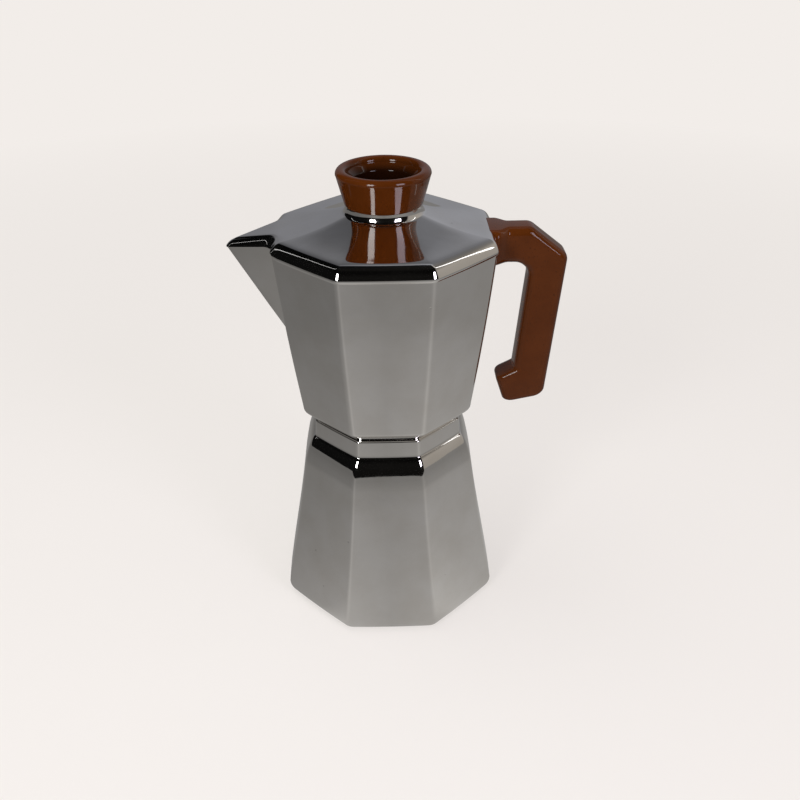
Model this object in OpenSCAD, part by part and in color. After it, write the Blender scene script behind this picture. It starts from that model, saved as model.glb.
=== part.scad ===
// Eight-sided ceramic vase in the form of a moka pot: pinched waist, V spout, angular side handle
// and an open round mouth. Millimetres, +Z up, origin on the axis at table level, spout towards -X.

/* [Lower body] */
// Height of the foot's rounding above the table
foot_round = 9; // [5:1:14]
// Apothem (centre to flat) of the lower wall where it meets the foot's rounding
foot_apothem = 68.7; // [62:0.1:74]
// Height of the shoulder, where the lower wall ends
shoulder_z = 110.4; // [104:0.2:118]
// Apothem of the lower wall at the shoulder
shoulder_apothem = 52.5; // [50:0.2:56]
// How far the lower wall dips inside a straight line at mid height
wall_dip = 0.65; // [0:0.05:2]
// Height of the waist band, from the crease above the shoulder to the waist groove
band_height = 11.4; // [8:0.2:14]
// Apothem at the crease between shoulder and band
band_apothem = 46.3; // [45:0.1:48]
// Thickness of the cast wall
wall = 6; // [5:0.5:7]
// Thickness of the floor
floor_t = 7; // [5:0.5:10]

/* [Waist] */
// Height of the groove where the two castings meet
waist_z = 132.4; // [128:0.2:138]
// Apothem at the bottom of the waist groove
groove_apothem = 42; // [41.5:0.5:43]
// Height of the waist groove
groove_h = 1.4; // [1:0.2:2]
// Length of the upper casting's spigot
spigot_len = 9; // [6:1:12]
// Gap between a spigot and the socket that it is luted into
lute_gap = 0.3; // [0.2:0.05:0.4]

/* [Upper body] */
// Height of the rim's lower crease, where the false lid is seated
rim_z = 249.2; // [244:0.2:256]
// Apothem of the upper wall at the rim's crease
rim_apothem = 64.8; // [60:0.2:70]
// Apothem of the upper wall just above its round bottom
upper_foot_apothem = 52; // [50:0.1:54]
// How far the upper wall bulges past a straight line at mid height
wall_bulge = 0.7; // [0:0.1:1.5]
// Height of the upper casting's round bottom
upper_round = 8; // [6:0.5:10]
// Radius of the vertical edges between the facets
edge_r = 4; // [2.5:0.5:5]
// Radius of the vent hole behind the spout
vent_r = 6; // [3:0.5:7]

/* [False lid] */
// How far the bullnose stands proud of the wall
bullnose_out = 0.8; // [0.4:0.2:1.4]
// Height of the bullnose rim
bullnose_h = 6.1; // [4:0.1:9]
// Height of the neck's foot above the top of the rim
roof_rise = 10.8; // [7:0.2:13]
// Radius of the neck at its top
neck_r = 22.6; // [21:0.1:24]
// Height of the cove around the neck
neck_cove = 3; // [2:0.5:4]
// Thickness of the lid's roof
roof_t = 5.5; // [4.5:0.5:6]
// Depth of the skirt that drops inside the upper casting
skirt_h = 3; // [2:0.5:5]

/* [Spout] */
// Distance of the spout's tip from the axis
tip_reach = 93.8; // [88:0.2:100]
// Half angle of the V in plan
spout_half_angle = 26; // [22:1:34]
// Radius of the tip in plan
tip_r = 5; // [4.8:0.2:6]
// Radius that blends the spout's rim into the octagon
blend_r = 9; // [5:0.5:10]
// Height of the keel's foot on the facet
keel_foot_z = 182; // [174:0.2:192]
// Drop of the spout cover's underside from the rim's crease to the tip
cover_drop = 5.2; // [3:0.2:7]
// Drop of the spout cover's top from the rim to the tip
crest_drop = 7.2; // [5:0.2:10]
// Thickness of the spout's walls
spout_wall = 4.5; // [3.5:0.5:5.5]

/* [Mouth] */
// Height of the mouth's lip above its seat on the lid
mouth_h = 20.9; // [18:0.1:24]
// Outer radius of the mouth at its lip
mouth_r = 27.8; // [26:0.2:30]
// Radius of the throat that stems pass through
throat_r = 17.5; // [15:0.5:18]
// Thickness of the mouth's wall at the lip
lip_wall = 6.8; // [5.5:0.2:7.5]
// Length of the throat's straight bore above the neck
throat_len = 14; // [9:0.5:14.5]
// Depth of the collar's spigot in the lid's neck
collar_spigot = 6; // [4:0.5:7]

/* [Handle] */
// Thickness of the handle, front to back
handle_t = 19; // [16:0.5:22]
// Depth of the handle's arm, top to underside
arm_depth = 22; // [18:0.1:24]
// Height of the arm's top above the rim's crease
arm_rise = 5.6; // [3:0.1:8]
// Distance from the axis to the start of the knee's chamfer
knee_in = 86.8; // [80:0.5:92]
// Distance from the axis to the end of the knee's chamfer
knee_out = 109; // [104:0.1:114]
// Drop of the knee's chamfer
knee_drop = 17.8; // [14:0.5:24]
// Radius that softens the knee's corners
knee_r = 7; // [3:0.5:10]
// Width of the grip, measured level
grip_w = 21.8; // [18:0.1:24]
// Lean of the grip from upright
grip_lean = 5.3; // [3:0.1:8]
// Height of the handle's lower outer corner
grip_low_z = 143; // [138:0.2:150]
// How far the toe reaches in from the grip
toe_reach = 11.2; // [8:0.2:14]
// Height of the toe's top above the handle's lower outer corner
toe_h = 18; // [13:0.5:20]
// Drop of the toe's top from the grip to the tip
toe_drop = 6; // [2:0.5:8]
// Drop of the handle's bottom edge from its outer to its inner corner
bottom_drop = 5.2; // [0:0.2:8]
// Radius along the handle's long edges
handle_edge_r = 3.2; // [2:0.2:4]
// How far the root flares sideways where it meets the body
root_flare = 8; // [5:0.5:9.5]
// How far the root's tab laps in over the rim
tab_lap = 2.4; // [1.5:0.2:4]

/* [Hidden] */
$fn = 96;

arc_n = 4;                                   // segments in each rounded corner in plan
turn_n = 7;                                  // segments in a rounded edge seen in section
wall_n = 8;                                  // height steps of a curved wall
seat_gap = 0.05;                             // clearance between faces luted flat together
inner_r = 2;                                 // corner radius inside the castings
foot_spread = 3;                             // extra corner radius of the foot at the table
turn = [for (i = [0:turn_n]) 90 * i / turn_n];
silver = [0.72, 0.72, 0.73];
brown = [0.36, 0.16, 0.06];

band_z = waist_z - band_height;              // crease between shoulder and band
shoulder_start = 25;                         // where the shoulder's arc leaves the wall, degrees
foot_in = foot_round * 0.8;                  // how far the foot's rounding turns in
band_taper = 0.8;                            // how far the band leans in on its way up
band_round = 3.2;                            // height of the band's rounding into the groove
waist_r = edge_r - 1;                        // corner radius at the waist
neck_bore = groove_apothem - wall;           // apothem of the lower casting's neck socket
spigot_a = neck_bore - lute_gap;             // apothem of the upper casting's spigot
spigot_t = 5;                                // thickness of the upper casting's spigot
spigot_in = spigot_a - spigot_t;
upper_z0 = waist_z + upper_round;            // foot of the upper wall
facet_tilt = atan((rim_apothem - upper_foot_apothem) / (rim_z - upper_z0));
vent_drop = 14;                              // depth of the vent's centre under the rim
vent_z = rim_z - vent_drop;

rim_out = rim_apothem + bullnose_out;        // widest apothem of the bullnose
lid_z = rim_z + bullnose_h;                  // top of the bullnose
rim_edge_r = edge_r + bullnose_out;          // plan radius of the bullnose at the corners
least_r = 0.4;                               // smallest plan radius left at a corner
nose_in = min(rim_edge_r, tip_r) - least_r;  // how far the bullnose's round goes in
nose_low = 0.45;                             // share of the bullnose's height at its widest
cove_out = neck_cove * 0.6;                  // how far the cove spreads at the neck's foot
neck_z = lid_z + roof_rise;                  // foot of the neck's cove
neck_step = 0.2;                             // how far the mouth's foot stands out over the neck
collar_z = neck_z + neck_cove;               // seat of the mouth collar
spigot_wall = 2.3;                           // thickness of the collar's spigot
socket_r = throat_r + spigot_wall + lute_gap; // radius of the neck's socket in the lid
skirt_a = rim_apothem - wall - lute_gap;     // apothem of the skirt inside the upper casting
skirt_t = 4;                                 // thickness of the skirt

cover_from = rim_apothem - 1;                // distance at which the spout cover starts to fall
cover_slope = cover_drop / (tip_reach - cover_from);
crest_slope = crest_drop / (tip_reach - cover_from);
keel_back = 0.6;                             // how far the keel stays back under the tip
keel_r = tip_r - keel_back;
least_half = 0.3;                            // least radius and half width of the spout's sections
half_v_cos = cos(spout_half_angle);
half_v_sin = sin(spout_half_angle);

handle_top = rim_z + arm_rise;               // top of the arm
arm_z = handle_top - arm_depth;              // underside of the arm
half_t = handle_t / 2;                       // half of the handle's thickness
tab_half = half_t + root_flare - 0.5;        // half width of the root's tab
inner_knee_r = 9;                            // radius under the arm, where it meets the grip
toe_slant = 5.6;                             // how far the toe's face leans back to the foot
toe_r = 2.8;                                 // radius of the toe's corners
foot_r = 5;                                  // radius of the handle's lower outer corner
foot_thin = 1.4;                             // how much the handle thins at its bottom edge

// Outer apothem of the lower wall at a height, dipping inside the straight line
function lower_a(z) =
    let (t = (z - foot_round) / (shoulder_z - foot_round))
    foot_apothem + (shoulder_apothem - foot_apothem) * t - wall_dip * sin(180 * pow(t, 1.4));

// Outer apothem of the upper wall at a height, bulging past the straight line
function upper_a(z) =
    let (t = (z - upper_z0) / (rim_z - upper_z0), bulge = wall_bulge * sin(180 * max(0, min(1, t))))
    upper_foot_apothem + (rim_apothem - upper_foot_apothem) * t + bulge;

// Evenly spaced values from a to b
function steps(a, b, n) = [for (i = [0:n]) a + (b - a) * i / n];

// One point of an octagon with apothem a and corner radius r: corner k, step j of its arc
function oct_point(a, r, k, j) =
    let (mid = 22.5 + 45 * k, at = mid - 22.5 + 45 * j / arc_n, centre = (a - r) / cos(22.5))
    [centre * cos(mid) + r * cos(at), centre * sin(mid) + r * sin(at)];

// A level octagon ring from [apothem, height, corner radius]
function oct_ring(s) =
    [for (k = [0:7]) for (j = [0:arc_n]) let (p = oct_point(s[0], s[2], k, j)) [p[0], p[1], s[1]]];

// Faces between rings of n points; the first and last ring are capped, or joined when closed
function ring_faces(rings, n, closed) = concat(
    [for (i = [0:rings - (closed ? 1 : 2)]) for (j = [0:n - 1])
        let (a = i * n, b = ((i + 1) % rings) * n, q = (j + 1) % n)
        each [[a + j, b + j, b + q], [a + j, b + q, a + q]]],
    closed ? [] : [[for (j = [0:n - 1]) j], [for (j = [n - 1:-1:0]) (rings - 1) * n + j]]);

// Solid through a list of rings
module skin(rings, closed = false) {
    polyhedron([for (r = rings) each r], ring_faces(len(rings), len(rings[0]), closed), convexity = 8);
}

// Solid through octagon sections, each given as [apothem, height, corner radius]
module octagon_skin(sections, closed = false) {
    skin([for (s = sections) oct_ring(s)], closed);
}

// Lower casting: one section list up the outside, over the neck and down the inside to the floor
module lower_body() {
    foot = [for (t = turn)
        [foot_apothem - foot_in * (1 - sin(t)), foot_round * (1 - cos(t)), edge_r + foot_spread * cos(t)]];
    outer = [for (z = steps(foot_round, shoulder_z, wall_n)) if (z > foot_round) [lower_a(z), z, edge_r]];
    shoulder = [for (t = steps(shoulder_start, 90, turn_n)) if (t > shoulder_start)
        [band_apothem + (shoulder_apothem - band_apothem) * cos(t) / cos(shoulder_start),
         shoulder_z + (band_z - shoulder_z) * (sin(t) - sin(shoulder_start)) / (1 - sin(shoulder_start)),
         edge_r]];
    band = [[band_apothem - band_taper, waist_z - band_round, waist_r],
        [band_apothem - 1.7 * band_taper, waist_z - band_round / 2, waist_r],
        [groove_apothem + band_taper, waist_z - band_round / 8, waist_r],
        [groove_apothem, waist_z, waist_r]];
    middle = (foot_round + shoulder_z) / 2;
    inner = [[neck_bore, waist_z, inner_r], [neck_bore, waist_z - spigot_len - 1, inner_r],
        [shoulder_apothem - 1.5 * wall, shoulder_z - wall / 2, inner_r],
        [lower_a(middle) - wall, middle, inner_r],
        [foot_apothem - wall, floor_t + foot_round, inner_r],
        [foot_apothem - 2 * wall, floor_t, inner_r]];
    color(silver)
        octagon_skin(concat(foot, outer, shoulder, band, inner));
}

// Upper casting: a closed run of sections from the spigot, out and up the wall, and down the inside
module upper_body() {
    bowl_z = waist_z + groove_h;
    spigot = [[spigot_in, waist_z - spigot_len, inner_r], [spigot_a, waist_z - spigot_len, inner_r],
        [spigot_a, waist_z, inner_r], [groove_apothem, waist_z, waist_r]];
    bowl = [for (t = turn)
        [groove_apothem + (upper_foot_apothem - groove_apothem) * sin(t),
         bowl_z + (upper_z0 - bowl_z) * (1 - cos(t)), waist_r + (edge_r - waist_r) * t / 90]];
    outer = [for (z = steps(upper_z0, rim_z, wall_n)) if (z > upper_z0) [upper_a(z), z, edge_r]];
    inner = [[rim_apothem - wall, rim_z, inner_r], [upper_foot_apothem - wall, upper_z0 + wall / 2, inner_r],
        [spigot_in, waist_z + wall / 2, inner_r]];
    color(silver)
        difference() {
            octagon_skin(concat(spigot, bowl, outer, inner), true);
            // vent into the hollow spout, square to the facet
            translate([-upper_a(vent_z), 0, vent_z])
                rotate([0, -90 + facet_tilt, 0])
                    cylinder(r = vent_r, h = 4 * wall, center = true);
        }
}

// Outline of the lid, drawn in by d: octagon points with the spout's V on the -X side
side_n = 5;                                  // extra points along each straight side
fan_n = 4;                                   // segments in each half of the V's curves
function side_points(p, q) = [for (i = [1:side_n]) p + (q - p) * i / (side_n + 1)];
blend_y = (tip_r + blend_r + (tip_reach - tip_r - rim_out - blend_r) * half_v_sin) / half_v_cos;
function half_v(d) = let (sweep = 90 - spout_half_angle) concat(
    [for (t = steps(0, -sweep, fan_n))
        [(blend_r + d) * cos(t) - rim_out - blend_r, blend_y + (blend_r + d) * sin(t)]],
    [for (t = steps(180 - sweep, 180, fan_n))
        [(tip_r - d) * cos(t) + tip_r - tip_reach, (tip_r - d) * sin(t)]]);
function lid_outline(d) =
    let (h = half_v(d), corner = function(k, j) oct_point(rim_out - d, rim_edge_r - d, k % 8, j),
        mirrored = [for (i = [len(h) - 2:-1:0]) [h[i][0], -h[i][1]]])
    [for (k = [0:7]) each concat(
        [for (j = [0:arc_n]) corner(k, j)],
        k == 3 ? concat(h, mirrored) : side_points(corner(k, arc_n), corner(k + 1, 0)))];

// Circle or plain octagon with one point on each bearing of the outline
bearings = [for (p = lid_outline(0)) atan2(p[1], p[0])];
function on_circle(r, z) = [for (b = bearings) [r * cos(b), r * sin(b), z]];
function on_octagon(a, z) =
    [for (b = bearings) let (r = a / cos(b - 45 * round(b / 45))) [r * cos(b), r * sin(b), z]];

// Outline ring at a height, falling by slope along the spout cover
function rim_ring(d, z, slope) =
    [for (p = lid_outline(d)) [p[0], p[1], z - max(0, -p[0] - cover_from) * slope]];

// False lid: bullnose rim, eight-sided roof, neck ring with its socket, ceiling and skirt
module lid_top() {
    low = [rim_ring(bullnose_out * 1.25, rim_z, cover_slope),
        rim_ring(bullnose_out / 5, rim_z + bullnose_h * nose_low / 2, cover_slope)];
    nose = [for (t = turn)
        rim_ring(nose_in * (1 - cos(t)), rim_z + bullnose_h * (nose_low + (1 - nose_low) * sin(t)),
            cover_slope + (crest_slope - cover_slope) * sin(t))];
    cove = [for (t = steps(0, 90, 4))
        on_circle(neck_r + cove_out * (1 - sin(t)), neck_z + neck_cove * (1 - cos(t)))];
    inside = [on_circle(socket_r, collar_z), on_circle(socket_r, neck_z - roof_t),
        on_octagon(skirt_a - skirt_t, lid_z - roof_t), on_octagon(skirt_a - skirt_t, rim_z - skirt_h),
        on_octagon(skirt_a, rim_z - skirt_h), on_octagon(skirt_a, rim_z), on_octagon(cover_from, rim_z)];
    color(silver)
        difference() {
            skin(concat(low, nose, cove, inside), true);
            // notch for the tab of the handle's root
            translate([0, 0, rim_z])
                linear_extrude(bullnose_h + roof_rise)
                    offset(delta = lute_gap)
                        tab_plan(2 * tab_lap);
        }
}

// Level section of the spout, drawn in by d: back edge on the facet, V sides and round keel
keel_slope = (tip_reach - keel_back - upper_a(keel_foot_z)) / (rim_z - cover_drop - keel_foot_z);
function spout_ring(z, d, back) =
    let (keel_x = upper_a(keel_foot_z) + (z - keel_foot_z) * keel_slope,
        r = max(least_half, min(keel_r, (keel_x - upper_a(z)) * 0.4) - d),
        nose_x = keel_x - d - r, back_x = upper_a(z) - back,
        half_w = max(least_half / 6, (r + (nose_x - back_x) * half_v_sin) / half_v_cos))
    concat([[-back_x, half_w, z]],
        [for (t = steps(90 + spout_half_angle, 270 - spout_half_angle, 6))
            [r * cos(t) - nose_x, r * sin(t), z]],
        [[-back_x, -half_w, z]]);

// Spout: a V-shaped wedge, hollow, its back open to the facet and its top closed by the lid's cover
module spout() {
    outer_foot = keel_foot_z + 0.8;
    inner_foot = keel_foot_z + 2.4 * spout_wall / keel_slope;
    above = rim_z + 4;                        // both skins run past the cut under the cover
    color(silver)
        difference() {
            skin([for (z = steps(outer_foot, above, wall_n)) spout_ring(z, 0, -seat_gap)]);
            skin([for (z = steps(inner_foot, above + 1, wall_n)) spout_ring(z, spout_wall, 2)]);
            // top cut along the underside of the lid's spout cover
            translate([-cover_from, -tip_reach / 2, rim_z - seat_gap])
                rotate([0, -atan(cover_slope), 0])
                    translate([-tip_reach, 0, 0])
                        cube([tip_reach, tip_reach, tip_reach]);
            translate([-cover_from - seat_gap, -tip_reach / 2, rim_z - seat_gap])
                cube([10, tip_reach, tip_reach]);
        }
}

// Mouth collar: turned form with spigot, straight throat, flared bore and rounded lip
module mouth_collar() {
    lip_in = mouth_r - lip_wall;
    round_r = lip_wall * 0.46;                // leaves a narrow flat between the lip's two rounds
    lip_z = collar_z + mouth_h - round_r;
    spigot_r = socket_r - lute_gap;
    color(brown)
        rotate_extrude() {
            polygon([[throat_r, collar_z - collar_spigot], [spigot_r, collar_z - collar_spigot],
                [spigot_r, collar_z], [neck_r + neck_step, collar_z], [mouth_r, lip_z],
                [lip_in, lip_z], [throat_r, collar_z + throat_len]]);
            translate([mouth_r - round_r, lip_z])
                circle(r = round_r);
            translate([lip_in + round_r, lip_z])
                circle(r = round_r);
            translate([lip_in + round_r, lip_z])
                square([lip_wall - 2 * round_r, round_r]);
        }
}

// Plan of the root's tab, from its lap over the rim outwards by reach
module tab_plan(reach) {
    soft = 2.2;
    lap_x = rim_out - tab_lap;
    polygon(concat(
        fillet([rim_out, tab_half], [lap_x, tab_half], [lap_x, 0], soft, 4),
        fillet([lap_x, 0], [lap_x, -tab_half], [rim_out, -tab_half], soft, 4),
        [[lap_x + reach, -tab_half], [lap_x + reach, tab_half]]));
}

// Unit vector, and the arc of radius r that rounds the corner v between points a and b
function unit(v) = v / norm(v);
function fillet(a, v, b, r, n) =
    let (u = unit(a - v), w = unit(b - v), half = acos(u * w) / 2, centre = v + unit(u + w) * r / sin(half),
        from = v + u * r / tan(half) - centre, to = v + w * r / tan(half) - centre)
    [for (i = [0:n]) centre + r * unit(from * (n - i) / n + to * i / n)];

// Rib of the handle: rounded rectangle from p (outer) to q (inner), half thickness h, edge radius r
function rib(p, q, h, r) =
    let (half_l = norm(q - p) / 2, u = unit(q - p))
    [for (k = [0:3]) for (t = steps(0, 90, 3))
        let (sx = (k == 0 || k == 3) ? 1 : -1, sy = k < 2 ? 1 : -1,
            s = half_l - sx * (half_l - r) - r * cos(90 * k + t), y = -sy * (h - r) - r * sin(90 * k + t))
        [p[0] + u[0] * s, y, p[1] + u[1] * s]];

// Handle: ribs from the root along the arm, round the knee, down the grip and in to the toe
module handle() {
    root_top = [rim_out + seat_gap, handle_top];
    root_low = [upper_a(arm_z) + seat_gap, arm_z];
    grip_run = tan(grip_lean);
    knee_top = [knee_in, handle_top];
    knee_low = [knee_out, handle_top - knee_drop];
    foot_out = [knee_out - (knee_low[1] - grip_low_z) * grip_run, grip_low_z];
    toe_in = [foot_out[0] - grip_w + toe_h * grip_run, grip_low_z + toe_h];
    tip = toe_in - [toe_reach, toe_drop];
    foot_inner = [tip[0] + toe_slant, grip_low_z - bottom_drop];
    under = [toe_in[0] + (arm_z - toe_in[1]) * grip_run, arm_z];

    root_ribs = [for (share = [0, 0.06, 0.18, 0.36, 0.62, 1])
        rib(root_top + share * [root_flare, 0],
            root_low + share * [root_top[0] + root_flare - root_low[0], 0],
            half_t + root_flare * (1 - sqrt(1 - pow(1 - share, 2))), handle_edge_r)];
    knee_p = concat(fillet(root_top, knee_top, knee_low, knee_r, 3),
        fillet(knee_top, knee_low, foot_out, knee_r, 3));
    knee_q = fillet(root_low, under, toe_in, inner_knee_r, 7);
    knee_ribs = [for (i = [0:7]) rib(knee_p[i], knee_q[i], half_t, handle_edge_r)];
    toe_q = concat(fillet(under, toe_in, tip, toe_r, 3), fillet(toe_in, tip, foot_inner, toe_r, 3));
    grip_mid = foot_out + [grip_run, 1] * (toe_h + foot_r);
    toe_p = steps(grip_mid, foot_out + [grip_run, 1] * 1.6 * foot_r, 7);
    grip_p = concat(steps(knee_p[7], grip_mid, 2), [for (i = [1:7]) toe_p[i]]);
    grip_q = concat(steps(knee_q[7], toe_q[0], 2), [for (i = [1:7]) toe_q[i]]);
    grip_ribs = [for (i = [1:9]) rib(grip_p[i], grip_q[i], half_t, handle_edge_r)];
    foot_p = fillet(knee_low, foot_out, foot_inner, foot_r, 3);
    foot_q = fillet(tip, foot_inner, foot_out, toe_r, 3);
    foot_ribs = [for (i = [0:3]) rib(foot_p[i], foot_q[i], half_t - foot_thin * i * i / 9, handle_edge_r)];
    color(brown)
        union() {
            skin(concat(root_ribs, knee_ribs, grip_ribs, foot_ribs));
            // tab of the root, let into the lid's rim
            translate([0, 0, rim_z + seat_gap])
                linear_extrude(arm_rise - seat_gap)
                    tab_plan(tab_lap + 1);
        }
}

lower_body();
upper_body();
spout();
lid_top();
mouth_collar();
handle();
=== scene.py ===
import math

import bpy
import numpy as np
from mathutils import Matrix, Vector


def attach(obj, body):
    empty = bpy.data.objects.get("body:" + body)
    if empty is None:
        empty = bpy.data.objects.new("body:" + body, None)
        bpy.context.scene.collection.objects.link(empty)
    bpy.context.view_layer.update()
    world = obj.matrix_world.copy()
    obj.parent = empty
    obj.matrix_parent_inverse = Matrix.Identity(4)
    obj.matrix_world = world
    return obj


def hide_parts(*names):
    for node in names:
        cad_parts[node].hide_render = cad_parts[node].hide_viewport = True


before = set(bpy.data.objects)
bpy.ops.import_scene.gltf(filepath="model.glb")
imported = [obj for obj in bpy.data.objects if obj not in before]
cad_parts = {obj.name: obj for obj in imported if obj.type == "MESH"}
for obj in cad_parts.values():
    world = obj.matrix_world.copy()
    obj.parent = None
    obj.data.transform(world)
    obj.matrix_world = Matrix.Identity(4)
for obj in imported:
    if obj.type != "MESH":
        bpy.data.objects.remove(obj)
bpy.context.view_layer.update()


# ---------------------------------------------------------------------------------------------
# Lower casting: hollow slip-cast stoneware, eight flared sides on a flat ground base, with a
# rounded shoulder and a plain waist band. Poured in a plaster mould, glazed, fired, then coated
# outside with a silver lustre that mirrors the room with the slight swell of the clay.

MM = 0.001
SIDES = 8
HALF_SIDE = 180.0 / SIDES
EDGE_R = 5.0                 # soft vertical edges between the facets
WALL = 6.0
INNER_R = 2.0
CROWN = 2.2                  # degrees that a facet turns out towards each of its edges

FOOT_ROUND, FOOT_A, FOOT_IN = 9.0, 68.7, 7.2
FOOT_SOFT = 3.0              # extra radius of the edges down at the base
SHOULDER_Z, SHOULDER_A, TURN_Z = 110.4, 52.5, 102.0
WALL_DIP, DIP_LIFT = 0.65, 1.4         # hollow of the facets, deepest a little above their middle
BAND_Z, BAND_A = 121.0, 46.3
TURN_PULL, BAND_PULL = (0.85, 6.0), (3.6, 2.2)     # across and up, along the shoulder's curve at its ends
BAND_UP, CREASE_IN = 0.4, 0.25         # the crease where the shoulder turns up into the band
BAND_IN, BAND_LEAN = 0.3, 0.5          # the band's face is set in and leans in
BAND_FROM, BAND_SHORT = 0.9, 1.2
LIP_DROP, LIP_UP = 0.2, 0.8            # the band's rounded top edge
WAIST_Z, NECK_A, GROOVE_A = 132.4, 42.0, 43.2
GROOVE_EDGE = ((0.6, 0.5), (-0.2, 0.3))            # out and up, where the band turns into the groove
SPIGOT_LEN, FLOOR_T = 9.0, 7.0


def linear(hex_colour):
    """sRGB hex to the linear colour that a shader takes."""
    parts = [int(hex_colour[i:i + 2], 16) / 255 for i in (1, 3, 5)]
    return [p / 12.92 if p <= 0.04045 else ((p + 0.055) / 1.055) ** 2.4 for p in parts] + [1.0]


def add(tree, kind, settings=None, links=None):
    """One node with its settings, and with links into its inputs."""
    node = tree.nodes.new(kind)
    for key, value in (settings or {}).items():
        if isinstance(key, str) and hasattr(node, key):
            setattr(node, key, value)
        else:
            node.inputs[key].default_value = value
    for key, source in (links or {}).items():
        tree.links.new(source, node.inputs[key])
    return node


def new_material(name):
    """An empty material, ready for its nodes."""
    made = bpy.data.materials.new(name)
    made.use_nodes = True
    made.node_tree.nodes.clear()
    return made, made.node_tree


def sweep(start, end, steps):
    """Angles from start to end in degrees, as radians."""
    return np.radians(np.linspace(start, end, steps + 1))


def octagon_plan(apothem, corner_r, crown, arc=10, flat=12):
    """Rounded corners and slightly crowned sides of an octagon, one array of points per side."""
    spread, sides = HALF_SIDE - crown, []
    centre = (apothem - corner_r) / math.cos(math.radians(HALF_SIDE))
    for k in range(SIDES):
        mid, following = np.radians([HALF_SIDE + 2 * HALF_SIDE * k, HALF_SIDE + 2 * HALF_SIDE * (k + 1)])
        turn = mid + sweep(-spread, spread, arc)
        corner = np.column_stack([centre * math.cos(mid) + corner_r * np.cos(turn),
                                  centre * math.sin(mid) + corner_r * np.sin(turn)])
        begin = following - math.radians(spread)
        chord = [centre * math.cos(following) + corner_r * math.cos(begin),
                 centre * math.sin(following) + corner_r * math.sin(begin)] - corner[-1]
        share = np.linspace(0, 1, flat + 1)[1:-1, None]
        rise = np.linalg.norm(chord) * math.tan(math.radians(crown)) / 4
        outward = np.array([chord[1], -chord[0]]) / np.linalg.norm(chord)
        sides.append((corner, corner[-1] + chord * share + outward * rise * 4 * share * (1 - share)))
    return sides


def octagon_ring(apothem, z, corner_r, crown=CROWN):
    """Points of a level octagon, counted from its first corner."""
    points = np.vstack([np.vstack(side) for side in octagon_plan(apothem, corner_r, crown)])
    return np.column_stack([points, np.full(len(points), z)])


def piece_from_rings(name, outside, inside=(), joined=False, sharp=35.0):
    """A mesh skinned over rings of points in millimetres: first the outside, then the inside, which
    takes the piece's second material. Its ends are capped unless the run is joined, and under a
    hollow piece the first cap takes the third material."""
    rings = list(outside) + list(inside)
    count, size = len(rings), len(rings[0])
    faces, finish = [], []
    for i in range(count if joined else count - 1):
        low, high = i * size, ((i + 1) % count) * size
        faces += [(low + j, low + (j + 1) % size, high + (j + 1) % size, high + j) for j in range(size)]
        finish += [1 if inside and i >= len(outside) else 0] * size
    if not joined:
        faces += [tuple(range(size))[::-1], tuple(range((count - 1) * size, count * size))]
        finish += [2, 1] if inside else [0, 0]
    mesh = bpy.data.meshes.new(name)
    mesh.from_pydata([tuple(float(c) * MM for c in p) for ring in rings for p in ring], [], faces)
    mesh.polygons.foreach_set("material_index", finish)
    mesh.polygons.foreach_set("use_smooth", [True] * len(faces))
    mesh.validate()
    mesh.set_sharp_from_angle(angle=math.radians(sharp))
    piece = bpy.data.objects.new(name, mesh)
    bpy.context.scene.collection.objects.link(piece)
    return piece


def finish_piece(piece, finishes, nodes):
    """Gives a piece its finishes, outside first, and ties it to the frame."""
    for finish in finishes:
        piece.data.materials.append(finish)
    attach(piece, "root")
    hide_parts(*nodes)


def lower_wall(z):
    """Apothem of the flared wall at a height."""
    t = (z - FOOT_ROUND) / (SHOULDER_Z - FOOT_ROUND)
    return FOOT_A + (SHOULDER_A - FOOT_A) * t - WALL_DIP * math.sin(math.pi * max(0.0, t) ** DIP_LIFT)


def lower_outside():
    """Apothem, height and edge radius from the ground base up to the waist groove."""
    path = [(FOOT_A - FOOT_IN * (1 - math.sin(t)), FOOT_ROUND * (1 - math.cos(t)),
             EDGE_R + FOOT_SOFT * math.cos(t)) for t in sweep(0, 90, 16)]
    path += [(lower_wall(z), z, EDGE_R) for z in np.linspace(FOOT_ROUND, TURN_Z, 28)[1:]]
    shoulder = [(lower_wall(TURN_Z), TURN_Z),
                (lower_wall(TURN_Z) - TURN_PULL[0], TURN_Z + TURN_PULL[1]),
                (BAND_A + BAND_PULL[0], BAND_Z - BAND_PULL[1]), (BAND_A, BAND_Z + BAND_UP)]
    for s in np.linspace(0, 1, 33)[1:]:
        weights = np.array([(1 - s) ** 3, 3 * s * (1 - s) ** 2, 3 * s * s * (1 - s), s ** 3])
        path.append((*(weights @ shoulder), EDGE_R))
    path += [(BAND_A - CREASE_IN, BAND_Z + 2 * BAND_UP, EDGE_R)]
    face_h = WAIST_Z - BAND_SHORT - BAND_Z
    path += [(BAND_A - BAND_IN - BAND_LEAN * s, BAND_Z + BAND_FROM + face_h * s, EDGE_R)
             for s in np.linspace(0.1, 1, 8)]
    lip_a, lip_z = BAND_A - (BAND_IN + BAND_LEAN + 1), WAIST_Z - LIP_DROP
    path += [(lip_a + math.cos(t), lip_z + LIP_UP * math.sin(t), EDGE_R) for t in sweep(10, 90, 7)]
    return path + [(GROOVE_A + out, WAIST_Z + up, EDGE_R) for out, up in GROOVE_EDGE]


def lower_inside():
    """From the neck's socket down to the floor."""
    middle = (FOOT_ROUND + SHOULDER_Z) / 2
    return [(NECK_A - WALL, WAIST_Z, INNER_R), (NECK_A - WALL, WAIST_Z - SPIGOT_LEN - 1, INNER_R),
            (SHOULDER_A - 1.5 * WALL, SHOULDER_Z - WALL / 2, INNER_R),
            (lower_wall(middle) - WALL, middle, INNER_R),
            (FOOT_A - WALL, FLOOR_T + FOOT_ROUND, INNER_R), (FOOT_A - 2 * WALL, FLOOR_T, INNER_R)]


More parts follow.
